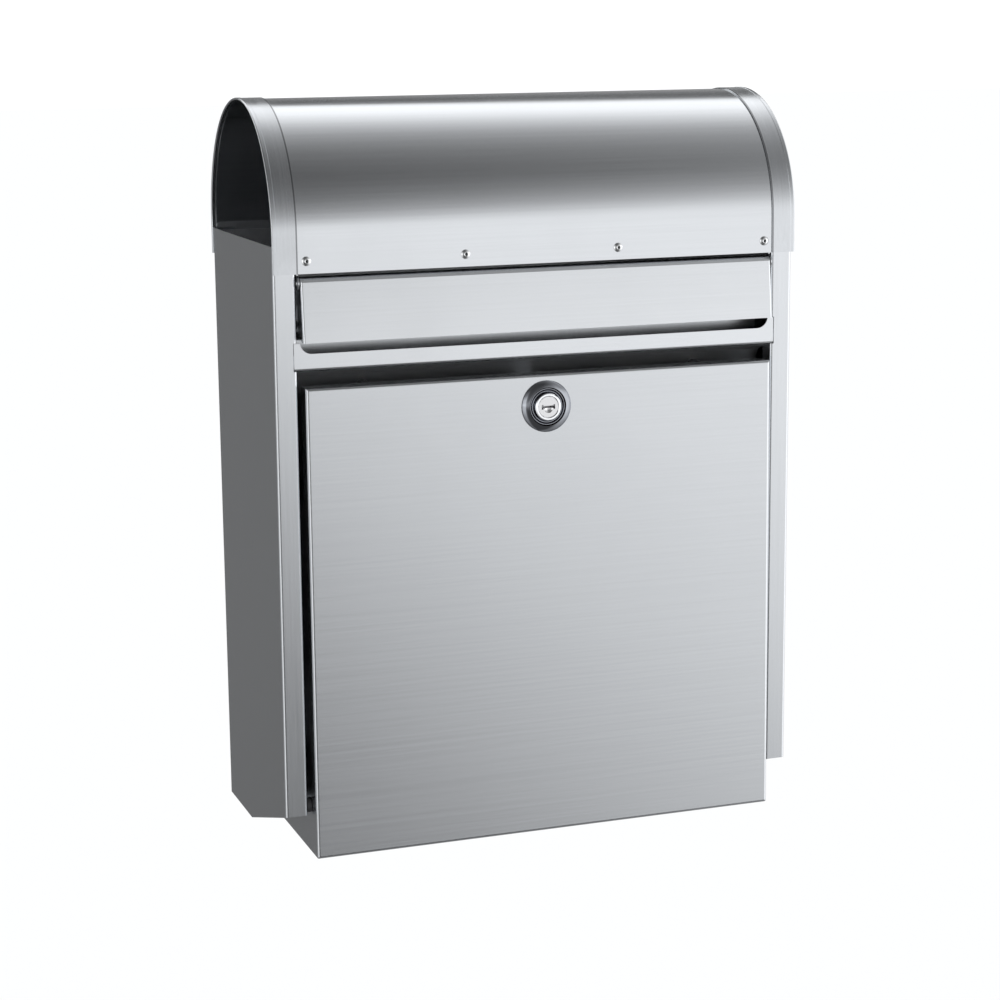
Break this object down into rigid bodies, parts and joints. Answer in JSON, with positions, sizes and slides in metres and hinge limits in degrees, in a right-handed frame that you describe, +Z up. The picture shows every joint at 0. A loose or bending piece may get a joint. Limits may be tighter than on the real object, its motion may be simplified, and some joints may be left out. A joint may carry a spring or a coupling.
{
  "type": "wall mounted mailbox",
  "caption": "Wall mounted letter box of folded brushed steel: half-barrel roof open at both ends for newspapers, letter flap above, lockable tilt-out door below.",
  "frame": {"origin": "centre of the four wall screws, in the plane of the wall", "axes": "+Y into the wall, along the wall screws; +Z up, along the longest side; the front faces -Y"},
  "size_m": [0.3712, 0.1806, 0.507],
  "materials": {
    "panel_steel": "fine vertical brushing",
    "side_steel": "fine vertical brushing",
    "rail_steel": "fine horizontal brushing",
    "roof_steel": "fine horizontal brushing",
    "band_steel": "satin, brushed along the band",
    "flap_steel": "fine horizontal brushing",
    "door_steel": "fine horizontal brushing",
    "pin_steel": "bright turned steel",
    "rivet_aluminium": "bright",
    "lock_chrome": "polished",
    "rosette_chrome": "polished, darker",
    "plug_chrome": "satin",
    "lock_zinc": "zinc plated",
    "buffer_rubber": "matte",
    "spacer_rubber": "matte",
    "washer_nylon": "black nylon"
  },
  "bodies": {
    "housing": {"back_panel": "panel_steel", "wall_spacers": "spacer_rubber", "left_side_panel": "side_steel", "right_side_panel": "side_steel", "floor_panel": "panel_steel", "newspaper_shelf": "panel_steel", "cross_rail": "rail_steel", "letter_chute": "panel_steel", "flap_bumpers": "buffer_rubber", "door_bumpers": "buffer_rubber", "roof_sheet": "roof_steel", "roof_band_left": "band_steel", "roof_band_right": "band_steel", "roof_rivets": "rivet_aluminium", "flap_hinge_rod": "pin_steel", "flap_hinge_brackets": "panel_steel", "door_hinge_pins": "pin_steel", "hinge_washers": "washer_nylon", "hinge_push_nuts": "pin_steel"},
    "door": {"door_pan": "door_steel", "lock_rosette": "rosette_chrome", "lock_housing": "lock_chrome", "lock_nut": "lock_zinc"},
    "lock_core": {"lock_plug": "plug_chrome", "lock_cam": "lock_zinc", "cam_screw": "lock_zinc"},
    "flap": {"flap_panel": "flap_steel"}
  },
  "joints": [
    {"name": "door_hinge", "type": "hinge", "parent": "housing", "child": "door", "pos_m": [0, -0.16, -0.164], "axis": [1, 0, 0], "range_deg": [0, 55]},
    {"name": "flap_hinge", "type": "hinge", "parent": "housing", "child": "flap", "pos_m": [0, -0.1678, 0.1898], "axis": [-1, 0, 0], "range_deg": [0, 85]},
    {"name": "lock_turn", "type": "hinge", "parent": "door", "child": "lock_core", "pos_m": [0, -0.176, 0.1], "axis": [0, 1, 0], "range_deg": [0, 90]}
  ]
}
